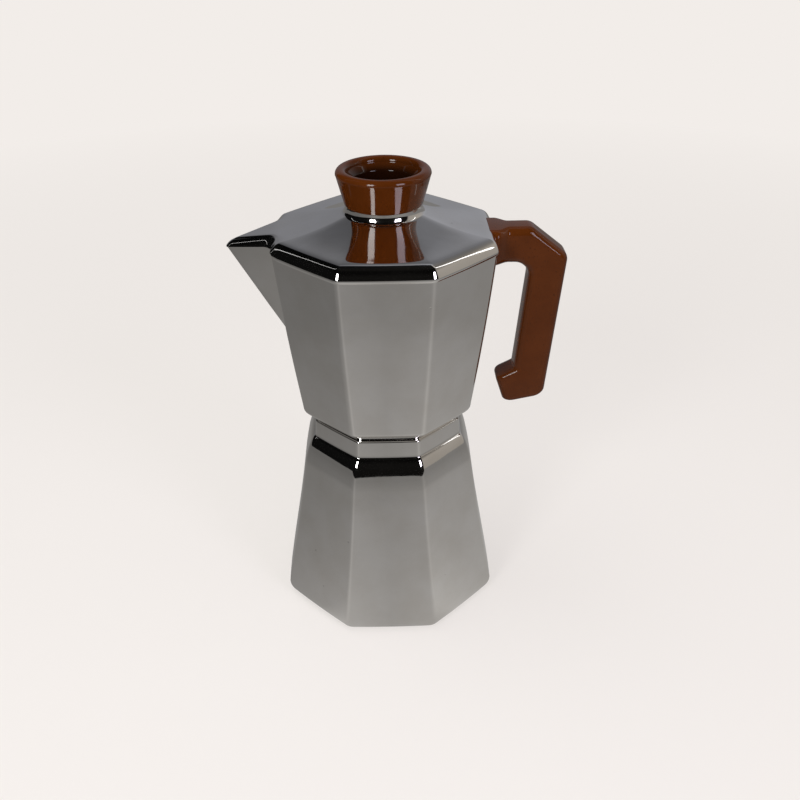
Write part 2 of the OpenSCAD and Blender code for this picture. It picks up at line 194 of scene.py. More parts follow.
# Silver lustre over glaze: a metal film fired on, so it is bright and mirror-like, a little
# cloudy in patches, with the slow waves and the odd pinhole of the glaze under it.
silver_lustre, tree = new_material("silver_lustre_over_glaze")
place = add(tree, "ShaderNodeTexCoord")
swell = add(tree, "ShaderNodeTexNoise", {"Scale": 24.0, "Detail": 1.0, "Roughness": 0.4},
            {"Vector": place.outputs["Object"]})             # clay swell about 40 mm long
orange_peel = add(tree, "ShaderNodeTexNoise", {"Scale": 125.0, "Detail": 2.0, "Roughness": 0.5},
                  {"Vector": place.outputs["Object"]})       # glaze ripple about 8 mm long
pinholes = add(tree, "ShaderNodeTexVoronoi", {"Scale": 60.0, "Randomness": 1.0},
               {"Vector": place.outputs["Object"]})          # a bubble every 17 mm, few at the surface
pit = add(tree, "ShaderNodeMapRange", {"From Min": 0.0, "From Max": 0.04, "To Min": 0.0, "To Max": 1.0},
          {"Value": pinholes.outputs["Distance"]})           # each opens in a hole up to 1.3 mm across
cloud = add(tree, "ShaderNodeTexNoise", {"Scale": 40.0, "Detail": 3.0, "Roughness": 0.55},
            {"Vector": place.outputs["Object"]})             # wiped tarnish in patches about 25 mm wide
tone = add(tree, "ShaderNodeMapRange", {"From Min": 0.35, "From Max": 0.7}, {"Value": cloud.outputs["Fac"]})
film = add(tree, "ShaderNodeMix", {"data_type": "RGBA", "A": linear("#EFEDEB"), "B": linear("#E8E5E1")},
           {"Factor": tone.outputs["Result"]})
haze = add(tree, "ShaderNodeMapRange", {"From Min": 0.3, "From Max": 0.7, "To Min": 0.03, "To Max": 0.08},
           {"Value": cloud.outputs["Fac"]})
wave = add(tree, "ShaderNodeBump", {"Strength": 0.5, "Distance": 0.0013}, {"Height": swell.outputs["Fac"]})
ripple = add(tree, "ShaderNodeBump", {"Strength": 0.11, "Distance": 0.0002},
             {"Height": orange_peel.outputs["Fac"], "Normal": wave.outputs["Normal"]})
holes = add(tree, "ShaderNodeBump", {"Strength": 0.7, "Distance": 0.0004},
            {"Height": pit.outputs["Result"], "Normal": ripple.outputs["Normal"]})
surface = add(tree, "ShaderNodeBsdfPrincipled", {"Metallic": 1.0},
              {"Base Color": film.outputs["Result"], "Roughness": haze.outputs["Result"],
               "Normal": holes.outputs["Normal"]})
add(tree, "ShaderNodeOutputMaterial", {}, {"Surface": surface.outputs["BSDF"]})

# Chestnut iron glaze: a glossy brown glass, poured inside the castings and dipped or brushed on
# the mouth and the handle. Iron pools in it in patches, so its brown drifts a little. Down the
# mouth's bore it darkens to nearly black: painted shade of the deep throat, where the glaze also lies
# thicker.
chestnut_glaze, tree = new_material("chestnut_iron_glaze")
place = add(tree, "ShaderNodeTexCoord")
iron = add(tree, "ShaderNodeTexNoise", {"Scale": 55.0, "Detail": 4.0, "Roughness": 0.55},
           {"Vector": place.outputs["Object"]})              # iron pools in patches about 18 mm wide
specks = add(tree, "ShaderNodeTexNoise", {"Scale": 900.0, "Detail": 2.0, "Roughness": 0.5},
             {"Vector": place.outputs["Object"]})            # fine iron specks about 1 mm
depth = add(tree, "ShaderNodeMapRange", {"From Min": 0.3, "From Max": 0.7}, {"Value": iron.outputs["Fac"]})
glaze = add(tree, "ShaderNodeMix", {"data_type": "RGBA", "A": linear("#4A2207"), "B": linear("#53280B")},
            {"Factor": depth.outputs["Result"]})
dot = add(tree, "ShaderNodeMapRange", {"From Min": 0.66, "From Max": 0.74}, {"Value": specks.outputs["Fac"]})
freckled = add(tree, "ShaderNodeMix", {"data_type": "RGBA", "B": linear("#3A1A07")},
               {"Factor": dot.outputs["Result"], "A": glaze.outputs["Result"]})
run = add(tree, "ShaderNodeTexNoise", {"Scale": 60.0, "Detail": 1.0, "Roughness": 0.4},
          {"Vector": place.outputs["Object"]})               # slow run of the melted glaze
across = add(tree, "ShaderNodeVectorMath", {"operation": "MULTIPLY", 1: (1.0, 1.0, 0.0)},
             {0: place.outputs["Object"]})
bore = add(tree, "ShaderNodeVectorMath", {"operation": "LENGTH"}, {0: across.outputs["Vector"]})
throat_shade = add(tree, "ShaderNodeMapRange", {"From Min": 0.0178, "From Max": 0.0235},
           {"Value": bore.outputs["Value"]})                 # painted shade of the throat: darker from the throat's radius to past the bore's
coat_with_throat_shade = add(tree, "ShaderNodeMix", {"data_type": "RGBA", "A": linear("#1C0B03")},
           {"Factor": throat_shade.outputs["Result"], "B": freckled.outputs["Result"]})      # painted shade with thicker glaze, darkest in the mouth's bore
flow = add(tree, "ShaderNodeBump", {"Strength": 0.3, "Distance": 0.0005}, {"Height": run.outputs["Fac"]})
gloss = add(tree, "ShaderNodeMapRange", {"To Min": 0.04, "To Max": 0.10}, {"Value": iron.outputs["Fac"]})
surface = add(tree, "ShaderNodeBsdfPrincipled", {"IOR": 1.5, "Specular IOR Level": 0.3},
              {"Base Color": coat_with_throat_shade.outputs["Result"], "Roughness": gloss.outputs["Result"],
               "Normal": flow.outputs["Normal"]})
add(tree, "ShaderNodeOutputMaterial", {}, {"Surface": surface.outputs["BSDF"]})

# Ground stoneware: the base is wiped clean of glaze and rubbed flat, so it shows dry buff clay
# with fine sand.
ground_clay, tree = new_material("ground_bare_stoneware")
place = add(tree, "ShaderNodeTexCoord")
sand = add(tree, "ShaderNodeTexNoise", {"Scale": 1200.0, "Detail": 2.0, "Roughness": 0.6},
           {"Vector": place.outputs["Object"]})              # sand grains under 1 mm
body = add(tree, "ShaderNodeMix", {"data_type": "RGBA", "A": linear("#B9AD9C"), "B": linear("#D5CBBC")},
           {"Factor": sand.outputs["Fac"]})
grain = add(tree, "ShaderNodeBump", {"Strength": 0.4, "Distance": 0.0002}, {"Height": sand.outputs["Fac"]})
surface = add(tree, "ShaderNodeBsdfPrincipled", {"Roughness": 0.85},
              {"Base Color": body.outputs["Result"], "Normal": grain.outputs["Normal"]})
add(tree, "ShaderNodeOutputMaterial", {}, {"Surface": surface.outputs["BSDF"]})

lower = piece_from_rings("lower_casting", [octagon_ring(*p) for p in lower_outside()],
                         [octagon_ring(*p, crown=0) for p in lower_inside()])
finish_piece(lower, [silver_lustre, chestnut_glaze, ground_clay], ["lower_body"])


# ---------------------------------------------------------------------------------------------
# Upper casting: the second slip-cast shell, round at its bottom and widening to the rim. Its
# spigot is luted with slip into the lower casting's neck, which leaves the groove at the waist.

UPPER_ROUND, UPPER_FOOT_A = 8.0, 52.0
BOWL_START, BOWL_END, BOWL_OVER = 50.0, 88.0, 3.0  # degrees of the round bottom, and its run up the wall
RIM_Z, RIM_A = 249.2, 64.8
WALL_BULGE = 0.7
GROOVE_H, SEAT_GAP, LUTE_GAP = 2.8, 0.02, 0.3
SPIGOT_T = 5.0
UPPER_SOFT, BOWL_SOFT = 1.0, 0.5                   # extra radius of the edges, all over and at the bottom
UPPER_Z0 = WAIST_Z + UPPER_ROUND


def upper_wall(z):
    """Apothem of the widening wall at a height."""
    t = (z - UPPER_Z0) / (RIM_Z - UPPER_Z0)
    bulge = WALL_BULGE * math.sin(math.pi * max(0.0, min(1.0, t)))
    return UPPER_FOOT_A + (RIM_A - UPPER_FOOT_A) * t + bulge


def upper_outside(spigot_a):
    """Spigot, groove, round bottom, and wall up to the rim."""
    bowl_z, seat_z = WAIST_Z + GROOVE_H, WAIST_Z + SEAT_GAP
    path = [(spigot_a - SPIGOT_T, WAIST_Z - SPIGOT_LEN, INNER_R), (spigot_a, WAIST_Z - SPIGOT_LEN, INNER_R),
            (spigot_a, seat_z, INNER_R), (GROOVE_A, seat_z, EDGE_R)]
    s0, c0 = math.sin(math.radians(BOWL_START)), math.cos(math.radians(BOWL_START))
    wall_z = UPPER_Z0 + BOWL_OVER
    path += [(GROOVE_A + (upper_wall(wall_z) - GROOVE_A) * (math.sin(t) - s0) / (1 - s0),
              bowl_z + (wall_z - bowl_z) * (c0 - math.cos(t)) / c0, EDGE_R + UPPER_SOFT + BOWL_SOFT)
             for t in sweep(BOWL_START, BOWL_END, 18)]
    return path + [(upper_wall(z), z, EDGE_R + UPPER_SOFT + BOWL_SOFT * (RIM_Z - z) / (RIM_Z - wall_z))
                   for z in np.linspace(wall_z, RIM_Z, 30)[1:]]


def upper_inside(spigot_a):
    """From the rim down the inside to the spigot."""
    return [(RIM_A - WALL, RIM_Z, INNER_R), (UPPER_FOOT_A - WALL, UPPER_Z0 + WALL / 2, INNER_R),
            (spigot_a - SPIGOT_T, WAIST_Z + WALL / 2, INNER_R)]


SPIGOT_A = NECK_A - WALL - LUTE_GAP
upper = piece_from_rings("upper_casting", [octagon_ring(*p) for p in upper_outside(SPIGOT_A)],
                         [octagon_ring(*p, crown=0) for p in upper_inside(SPIGOT_A)], joined=True)
finish_piece(upper, [silver_lustre, chestnut_glaze], ["upper_body"])


# ---------------------------------------------------------------------------------------------
# False lid: cast in one with its bullnose rim, the eight-sided roof, the cover over the spout
# and the ring that carries the mouth. It is luted down on the upper casting, so it never opens.

BULLNOSE_OUT, BULLNOSE_H, NOSE_FROM, NOSE_SAG = 0.8, 6.1, 0.5, 2.0
NOSE_START, NOSE_END, TIP_SPARE = 30.0, 78.0, 0.4
UNDER_EDGE = ((1.0, 0.0, 3.4), (0.6, 0.0, 2.9), (0.3, 0.1, 2.45), (0.1, 0.25, 2.15))  # in, up and sag
ROOF_RISE, ROOF_T, SKIRT_H, SKIRT_T = 10.8, 5.5, 3.0, 4.0
NECK_R, NECK_COVE, SOCKET_R = 22.6, 3.0, 20.1
TIP_REACH, TIP_R, BLEND_R, SPOUT_HALF = 93.8, 5.0, 9.0, 26.0
COVER_DROP, CREST_DROP = 5.2, 7.2
RIM_OUT = RIM_A + BULLNOSE_OUT
LID_Z = RIM_Z + BULLNOSE_H
RIM_EDGE_R = EDGE_R + UPPER_SOFT + BULLNOSE_OUT
NOSE_IN = min(RIM_EDGE_R, TIP_R) - TIP_SPARE
COVE_OUT, COVE_START = 2.4, 20.0
NECK_Z = LID_Z + ROOF_RISE
COLLAR_Z = NECK_Z + NECK_COVE
COVER_FROM, COVER_SOFT = RIM_A - 1, 0.8
COVER_SLOPE = COVER_DROP / (TIP_REACH - COVER_FROM)
CREST_SLOPE = CREST_DROP / (TIP_REACH - COVER_FROM)
V_SIN, V_COS = math.sin(math.radians(SPOUT_HALF)), math.cos(math.radians(SPOUT_HALF))
SPOUT_SIDE = 3               # the octagon's side that the V stands on
CREASE, DISH, SINK = 0.7, 0.4, 2.4     # the roof's creases, its slope at the eaves, its sag at the neck
ROLL, ROLL_L = 0.75, 1.6     # drop and width of the roof's soft roll into the bullnose
SAG_OVER = 1.5               # no sag is left this far out over the spout
EAVES_FINE = 1.3             # the roof's rings lie closer together near the eaves


def half_spout(d, steps=12):
    """The V's +Y half in plan, from its blend with the octagon to the tip, drawn in by d."""
    blend_y = (TIP_R + BLEND_R + (TIP_REACH - TIP_R - RIM_OUT - BLEND_R) * V_SIN) / V_COS
    turn = 90 - SPOUT_HALF
    blend = [((BLEND_R + d) * math.cos(t) - RIM_OUT - BLEND_R, blend_y + (BLEND_R + d) * math.sin(t))
             for t in sweep(0, -turn, steps)]
    tip = [((TIP_R - d) * math.cos(t) + TIP_R - TIP_REACH, (TIP_R - d) * math.sin(t))
           for t in sweep(180 - turn, 180, steps)]
    straight = np.linspace(blend[-1], tip[0], 7)[1:-1]
    return np.vstack([blend, straight, tip])


def lid_outline(d):
    """Plan of the lid drawn in by d: an octagon with rounded corners and the V over the spout."""
    points = []
    for k, (corner, side) in enumerate(octagon_plan(RIM_OUT - d, RIM_EDGE_R - d, CROWN)):
        half = half_spout(d)
        points += [corner, np.vstack([half, half[-2::-1] * [1, -1]]) if k == SPOUT_SIDE else side]
    return np.vstack(points)


BEARINGS = np.arctan2(lid_outline(0)[:, 1], lid_outline(0)[:, 0])


def past_rim(x):
    """Distance over the spout, with a soft start at the octagon's side."""
    return np.logaddexp(0, COVER_SOFT * (-x - COVER_FROM)) / COVER_SOFT


def rim_ring(d, z, slope, sag):
    """The lid's outline drawn in by d, falling towards the tip, and sagging over the castings' sides."""
    outline = lid_outline(d)
    over = past_rim(outline[:, 0])
    return np.column_stack([outline, z - over * slope - sag * np.clip(SAG_OVER - over, 0, 1)])


def on_circle(radius, z):
    """A level circle, at the bearings of the lid's outline."""
    return np.column_stack([radius * np.cos(BEARINGS), radius * np.sin(BEARINGS), np.full(len(BEARINGS), z)])


def on_octagon(apothem, z):
    """A level octagon with plain corners, at the same bearings."""
    turn = math.pi / 4
    radius = apothem / np.cos(BEARINGS - turn * np.round(BEARINGS / turn))
    return np.column_stack([radius * np.cos(BEARINGS), radius * np.sin(BEARINGS), np.full(len(BEARINGS), z)])


def on_roof(plan, travel):
    """Points of the roof over a plan: eight sides, a little dished, with soft creases between them.
    The travel from the eaves sets how much is left of the roll into the bullnose."""
    faces = np.radians(np.arange(SIDES) * 2 * HALF_SIDE)
    reach = plan @ np.array([np.cos(faces), np.sin(faces)])
    away = np.log(np.exp(CREASE * (reach - reach.max(axis=1, keepdims=True))).sum(axis=1)) / CREASE \
        + reach.max(axis=1)
    share = np.logaddexp(0, RIM_OUT - NOSE_IN - away) / (RIM_OUT - NOSE_IN - NECK_R - COVE_OUT)
    fall = past_rim(plan[:, 0]) * CREST_SLOPE + ROLL * np.exp(-travel / ROLL_L)
    return np.column_stack([plan, LID_Z - fall + (ROOF_RISE - SINK) * share * (DISH + (1 - DISH) * share)])


def lid_outside():
    """The bullnose, the roof, and the cove that runs up to the mouth."""
    (c0, s0), (c1, s1) = ((math.cos(t), math.sin(t)) for t in np.radians([NOSE_START, NOSE_END]))
    rings = [rim_ring(d, RIM_Z + rise, COVER_SLOPE, sag) for d, rise, sag in UNDER_EDGE]
    for t in sweep(NOSE_START, NOSE_END, 18):
        share = (math.sin(t) - s0) / (s1 - s0)
        rings.append(rim_ring(NOSE_IN * (c0 - math.cos(t)) / (c0 - c1),
                              RIM_Z + NOSE_FROM + (BULLNOSE_H - ROLL - NOSE_FROM) * share,
                              COVER_SLOPE + (CREST_SLOPE - COVER_SLOPE) * share, NOSE_SAG * (1 - share)))
    eaves = rings[-1][:, :2]
    path = on_circle(NECK_R + COVE_OUT, 0)[:, :2] - eaves
    rings += [on_roof(eaves + path * s, np.linalg.norm(path, axis=1) * s)
              for s in np.linspace(0, 1, 29)[1:] ** EAVES_FINE]
    foot_z = rings[-1][:, 2:]
    for t in sweep(COVE_START, 90, 10):
        level = on_circle(NECK_R + COVE_OUT * (1 - math.sin(t)), 0)
        rings.append(np.hstack([level[:, :2], foot_z + (COLLAR_Z - foot_z) * (1 - math.cos(t))]))
    return rings


def lid_inside():
    """From the socket for the mouth down to the skirt inside the upper casting, and out to the rim."""
    skirt_a = RIM_A - WALL - LUTE_GAP
    return [on_circle(SOCKET_R, COLLAR_Z), on_circle(SOCKET_R, NECK_Z - ROOF_T),
            on_octagon(skirt_a - SKIRT_T, LID_Z - ROOF_T), on_octagon(skirt_a - SKIRT_T, RIM_Z - SKIRT_H),
            on_octagon(skirt_a, RIM_Z - SKIRT_H), on_octagon(skirt_a, RIM_Z), on_octagon(COVER_FROM, RIM_Z)]


lid = piece_from_rings("false_lid", lid_outside(), lid_inside(), joined=True, sharp=40)
finish_piece(lid, [silver_lustre, chestnut_glaze], ["lid_top"])


# ---------------------------------------------------------------------------------------------
# Spout: a V-shaped wedge cast hollow and luted on the facet opposite the handle. The lid's
# cover closes its top, so it only carries the outline of a pouring lip.

KEEL_FOOT_Z, KEEL_START, KEEL_BACK = 182.0, 0.8, 0.6
KEEL_R, KEEL_THIN_R, KEEL_SHARE = TIP_R - KEEL_BACK, 0.3, 0.4      # round keel, thinner towards its foot
COVER_LAP, WALL_LAP, LEAST_W = 0.2, 1.5, 0.05      # laps into the cover and the wall, and least half width
KEEL_SLOPE = (TIP_REACH - KEEL_BACK - upper_wall(KEEL_FOOT_Z)) / (RIM_Z - COVER_DROP - KEEL_FOOT_Z)


def spout_ring(share):
    """One section: level at the keel's foot, and tilted with the lid's cover at the top."""
    low = KEEL_FOOT_Z + KEEL_START
    level = low + (RIM_Z + COVER_LAP - low) * share
    tilt = share * COVER_SLOPE
    foot_x = upper_wall(KEEL_FOOT_Z)
    nose_z = (level - tilt * (foot_x - KEEL_FOOT_Z * KEEL_SLOPE - COVER_FROM)) / (1 + tilt * KEEL_SLOPE)
    keel_x = foot_x + (nose_z - KEEL_FOOT_Z) * KEEL_SLOPE
    wall_x = upper_wall(level)
    r = max(KEEL_THIN_R, min(KEEL_R, (keel_x - wall_x) * KEEL_SHARE))
    nose_x, back_x = keel_x - r, wall_x - WALL_LAP
    half_w = max(LEAST_W, (r + (nose_x - back_x) * V_SIN) / V_COS)
    nose = [(r * math.cos(t) - nose_x, r * math.sin(t)) for t in sweep(90 + SPOUT_HALF, 270 - SPOUT_HALF, 16)]
    side = np.linspace((-back_x, half_w), nose[0], 9)[:-1]
    plan = np.vstack([side, nose, side[::-1] * [1, -1]])
    return np.column_stack([plan, level - tilt * np.maximum(0, -plan[:, 0] - COVER_FROM)])


spout = piece_from_rings("hollow_spout", [spout_ring(s) for s in np.linspace(0, 1, 40)], sharp=50)
finish_piece(spout, [silver_lustre], ["spout"])


# ---------------------------------------------------------------------------------------------
# Mouth collar: a turned ring of the same clay, dipped in the chestnut iron glaze instead of the
# lustre. Its spigot is luted in the lid's neck, and its throat opens into the hollow below.

THROAT_R, THROAT_LEN, MOUTH_R, MOUTH_H, LIP_WALL = 17.5, 14.0, 27.8, 20.9, 6.8
COLLAR_SPIGOT, LIP_ROUND = 6.0, LIP_WALL * 0.46
LIP_Z = COLLAR_Z + MOUTH_H - LIP_ROUND
LIP_IN = MOUTH_R - LIP_WALL
SEAT_EDGE = ((0.1, 0.0), (0.45, 0.4), (0.7, 1.2))  # out and up, the soft edge that stands on the neck
LIP_UNDER, LIP_OVER = (0.3, 0.8), (0.2, 0.4)       # in and down, where the flare and the bore meet the lip
THROAT_EDGE = ((0.5, 0.3), (0.15, -0.1), (0.0, -0.6))        # out and up, the soft edge down in the bore
THROAT_FOOT = 4.0


def collar_profile():
    """Radius and height: spigot, outside up to the lip, over it, and down the flared bore."""
    seat = [(NECK_R + out, COLLAR_Z + up) for out, up in SEAT_EDGE]
    edge = [(THROAT_R + out, COLLAR_Z + THROAT_LEN + up) for out, up in THROAT_EDGE]
    path = [(THROAT_R, COLLAR_Z - COLLAR_SPIGOT), (SOCKET_R - LUTE_GAP, COLLAR_Z - COLLAR_SPIGOT),
            (SOCKET_R - LUTE_GAP, COLLAR_Z), *seat[:-1],
            *np.linspace(seat[-1], (MOUTH_R - LIP_UNDER[0], LIP_Z - LIP_UNDER[1]), 12)]
    path += [(MOUTH_R - LIP_ROUND + LIP_ROUND * math.cos(t), LIP_Z + LIP_ROUND * math.sin(t))
             for t in sweep(0, 90, 12)]
    path += [(LIP_IN + LIP_ROUND - LIP_ROUND * math.sin(t), LIP_Z + LIP_ROUND * math.cos(t))
             for t in sweep(0, 90, 12)]
    path += [*np.linspace((LIP_IN - LIP_OVER[0], LIP_Z - LIP_OVER[1]), edge[0], 6), *edge[1:]]
    return path + [(THROAT_R, COLLAR_Z + THROAT_FOOT)]


TURNS = sweep(0, 360, 144)[:-1]
collar = piece_from_rings("mouth_collar_ring",
                          [np.column_stack([r * np.cos(TURNS), r * np.sin(TURNS), np.full(len(TURNS), z)])
                           for r, z in collar_profile()], joined=True)
finish_piece(collar, [chestnut_glaze], ["mouth_collar"])


# ---------------------------------------------------------------------------------------------
# Handle: press-moulded solid, angular like a moulded plastic grip, luted on the facet opposite
# the spout with a flared root that laps on to the lid's rim, and brushed with the chestnut glaze.

ARM_RISE, ARM_DEPTH, HANDLE_T = 5.6, 22.0, 19.0
KNEE_IN, KNEE_OUT, KNEE_DROP, KNEE_R, INNER_KNEE_R = 86.8, 109.0, 17.8, 7.0, 9.0
GRIP_W, GRIP_LEAN, GRIP_LOW_Z = 21.8, 5.3, 143.0
TOE_REACH, TOE_H, TOE_DROP, TOE_SLANT, TOE_R = 11.2, 18.0, 6.0, 5.6, 2.8
BOTTOM_DROP, FOOT_R, FOOT_THIN = 5.2, 5.0, 1.4
HANDLE_EDGE_R, ROOT_FLARE, ROOT_RUN, ROOT_IN, ROOT_GAP = 5.0, 5.5, 8.0, 4.4, 0.05
GRIP_END = 1.6               # where the grip's back stops over the foot, in foot radii
ARM_TOP = RIM_Z + ARM_RISE
ARM_LOW = ARM_TOP - ARM_DEPTH
HALF_T = HANDLE_T / 2


def unit(v):
    """The vector with its length made one."""
    return v / np.linalg.norm(v)


def fillet(a, v, b, r, steps):
    """The arc of radius r that rounds the corner v between a and b."""
    a, v, b = np.array(a, float), np.array(v, float), np.array(b, float)
    u, w = unit(a - v), unit(b - v)
    half = math.acos(np.dot(u, w)) / 2
    centre = v + unit(u + w) * r / math.sin(half)
    start, end = unit(v + u * r / math.tan(half) - centre), unit(v + w * r / math.tan(half) - centre)
    turn = math.acos(np.dot(start, end))
    return [centre + r * (math.sin(turn * (1 - s)) * start + math.sin(turn * s) * end) / math.sin(turn)
            for s in np.linspace(0, 1, steps + 1)]


def rib(p, q, half, r, steps=8):
    """Rounded upright section of the handle, from its outer point p to its inner point q."""
    half_l, u = np.linalg.norm(q - p) / 2, unit(q - p)
    section = []
    for k in range(4):
        sx, sy = (1 if k in (0, 3) else -1), (1 if k < 2 else -1)
        for t in sweep(90 * k, 90 * k + 90, steps):
            s = half_l - sx * (half_l - r) - r * math.cos(t)
            section.append((p[0] + u[0] * s, -sy * (half - r) - r * math.sin(t), p[1] + u[1] * s))
    return section[::-1]


def handle_rings():
    """Ribs from the root along the arm, round the knee, down the grip and in to the toe."""
    root_top = np.array([RIM_OUT + ROOT_GAP, ARM_TOP])
    root_low = np.array([upper_wall(ARM_LOW) + ROOT_GAP, ARM_LOW])
    run = math.tan(math.radians(GRIP_LEAN))
    knee_top, knee_low = np.array([KNEE_IN, ARM_TOP]), np.array([KNEE_OUT, ARM_TOP - KNEE_DROP])
    foot_out = np.array([KNEE_OUT - (knee_low[1] - GRIP_LOW_Z) * run, GRIP_LOW_Z])
    toe_in = np.array([foot_out[0] - GRIP_W + TOE_H * run, GRIP_LOW_Z + TOE_H])
    tip = toe_in - np.array([TOE_REACH, TOE_DROP])
    foot_inner = np.array([tip[0] + TOE_SLANT, GRIP_LOW_Z - BOTTOM_DROP])
    under = np.array([toe_in[0] + (ARM_LOW - toe_in[1]) * run, ARM_LOW])
    along = np.array([run, 1])
    rings = [rib(root_top - [ROOT_IN, 0], root_low - [ROOT_IN, 0], HALF_T + ROOT_FLARE, HANDLE_EDGE_R)]
    for share in np.linspace(0, 1, 17):
        flare = HALF_T + ROOT_FLARE * (1 - share) ** 2 * (1 + 2 * share)
        low = root_low + share * np.array([root_top[0] + ROOT_RUN - root_low[0], 0])
        rings.append(rib(root_top + share * np.array([ROOT_RUN, 0]), low, flare, HANDLE_EDGE_R))
    knee_p = fillet(root_top, knee_top, knee_low, KNEE_R, 14)
    knee_p += fillet(knee_top, knee_low, foot_out, KNEE_R, 14)
    knee_q = fillet(root_low, under, toe_in, INNER_KNEE_R, 29)
    toe_q = fillet(under, toe_in, tip, TOE_R, 8) + fillet(toe_in, tip, foot_inner, TOE_R, 8)
    grip_mid, grip_low = foot_out + along * (TOE_H + FOOT_R), foot_out + along * GRIP_END * FOOT_R
    grip = list(zip(np.linspace(knee_p[-1], grip_mid, 12)[1:], np.linspace(knee_q[-1], toe_q[0], 12)[1:]))
    toe = list(zip(np.linspace(grip_mid, grip_low, len(toe_q))[1:], toe_q[1:]))
    rings += [rib(p, q, HALF_T, HANDLE_EDGE_R) for p, q in list(zip(knee_p, knee_q)) + grip + toe]
    foot_p = fillet(knee_low, foot_out, foot_inner, FOOT_R, 10)
    foot_q = fillet(tip, foot_inner, foot_out, TOE_R, 10)
    return rings + [rib(p, q, HALF_T - FOOT_THIN * (i / 10) ** 2, HANDLE_EDGE_R)
                    for i, (p, q) in enumerate(zip(foot_p, foot_q))]


handle = piece_from_rings("moulded_handle", handle_rings(), sharp=40)
finish_piece(handle, [chestnut_glaze], ["handle"])


# ---------------------------------------------------------------------------------------------
# Studio: a plain pale floor and background, soft lamps, and a camera that looks down at 29 degrees.
# The plated sides mirror a grey table, a dark room in front and a beige wall on the right, which
# only reflections see.


def bearing(tree, vector):
    """Compass bearing of a vector in turns: 0.25 is -X, 0.5 is -Y, 0.75 is +X, and 0 or 1 is +Y."""
    axes = add(tree, "ShaderNodeSeparateXYZ", {}, {0: vector})
    front = add(tree, "ShaderNodeMath", {"operation": "MULTIPLY", 1: -1.0}, {0: axes.outputs["Y"]})
    angle = add(tree, "ShaderNodeMath", {"operation": "ARCTAN2"}, {0: axes.outputs["X"], 1: front.outputs[0]})
    turns = add(tree, "ShaderNodeMath", {"operation": "MULTIPLY_ADD", 1: 0.5 / math.pi, 2: 0.5},
                {0: angle.outputs[0]})
    return turns.outputs[0]


def set_stops(ramp, stops):
    """Puts stops on a ramp that has its two end marks, ends first: place, level and perhaps a tint."""
    marks = ramp.color_ramp.elements
    for i, (at, level, *tint) in enumerate(stops):
        mark = marks[i] if i < 2 else marks.new(at)
        mark.position = at
        mark.color = [level * c for c in linear(tint[0] if tint else "#FFFFFF")[:3]] + [1.0]


PALE = linear("#F2EDE9")

floor_mat, tree = new_material("pale_studio_floor")
path = add(tree, "ShaderNodeLightPath")
spot = add(tree, "ShaderNodeNewGeometry")
reach = add(tree, "ShaderNodeVectorMath", {"operation": "LENGTH"}, {0: spot.outputs["Position"]})
table_round = add(tree, "ShaderNodeValToRGB", {},
                  {0: bearing(tree, spot.outputs["Position"])})        # the mirrored table by bearing
set_stops(table_round, [(0.0, 0.60), (1.0, 0.60), (0.12, 0.42), (0.27, 0.40), (0.37, 0.52), (0.42, 0.74),
                        (0.5, 0.58), (0.57, 0.68), (0.615, 0.80), (0.70, 0.64), (0.86, 0.60)])
table_out = add(tree, "ShaderNodeValToRGB", {}, {0: reach.outputs["Value"]})     # and by metres outwards
set_stops(table_out, [(0.0, 0.62), (1.0, 0.34), (0.11, 0.60), (0.22, 0.52), (0.30, 0.47), (0.36, 0.41),
                      (0.61, 0.37)])
table = add(tree, "ShaderNodeMath", {"operation": "MULTIPLY"},
            {0: table_round.outputs["Color"], 1: table_out.outputs["Color"]})
mirrored = add(tree, "ShaderNodeEmission", {"Color": linear("#FFFCF8")}, {"Strength": table.outputs[0]})
lit = add(tree, "ShaderNodeBsdfDiffuse", {"Color": [0.30, 0.29, 0.28, 1]})
glow = add(tree, "ShaderNodeEmission", {"Color": PALE, "Strength": 0.665})
near = add(tree, "ShaderNodeAddShader", {}, {0: glow.outputs[0], 1: lit.outputs[0]})
far = add(tree, "ShaderNodeEmission", {"Color": PALE, "Strength": 1.0})
away = add(tree, "ShaderNodeMapRange", {"From Min": 0.45, "From Max": 1.3},
           {"Value": reach.outputs["Value"]})
seen = add(tree, "ShaderNodeMixShader", {}, {0: away.outputs["Result"], 1: near.outputs[0],
                                             2: far.outputs[0]})
matte = add(tree, "ShaderNodeBsdfDiffuse", {"Color": linear("#B8B4B0")})
other = add(tree, "ShaderNodeMixShader", {}, {0: path.outputs["Is Glossy Ray"], 1: matte.outputs[0],
                                              2: mirrored.outputs[0]})
both = add(tree, "ShaderNodeMixShader", {}, {0: path.outputs["Is Camera Ray"], 1: other.outputs[0],
                                             2: seen.outputs[0]})
add(tree, "ShaderNodeOutputMaterial", {}, {"Surface": both.outputs[0]})

floor_mesh = bpy.data.meshes.new("studio_floor")
floor_mesh.from_pydata([(-6, -6, 0), (6, -6, 0), (6, 6, 0), (-6, 6, 0)], [], [(0, 1, 2, 3)])
floor = bpy.data.objects.new("studio_floor", floor_mesh)
bpy.context.scene.collection.objects.link(floor)
floor.data.materials.append(floor_mat)

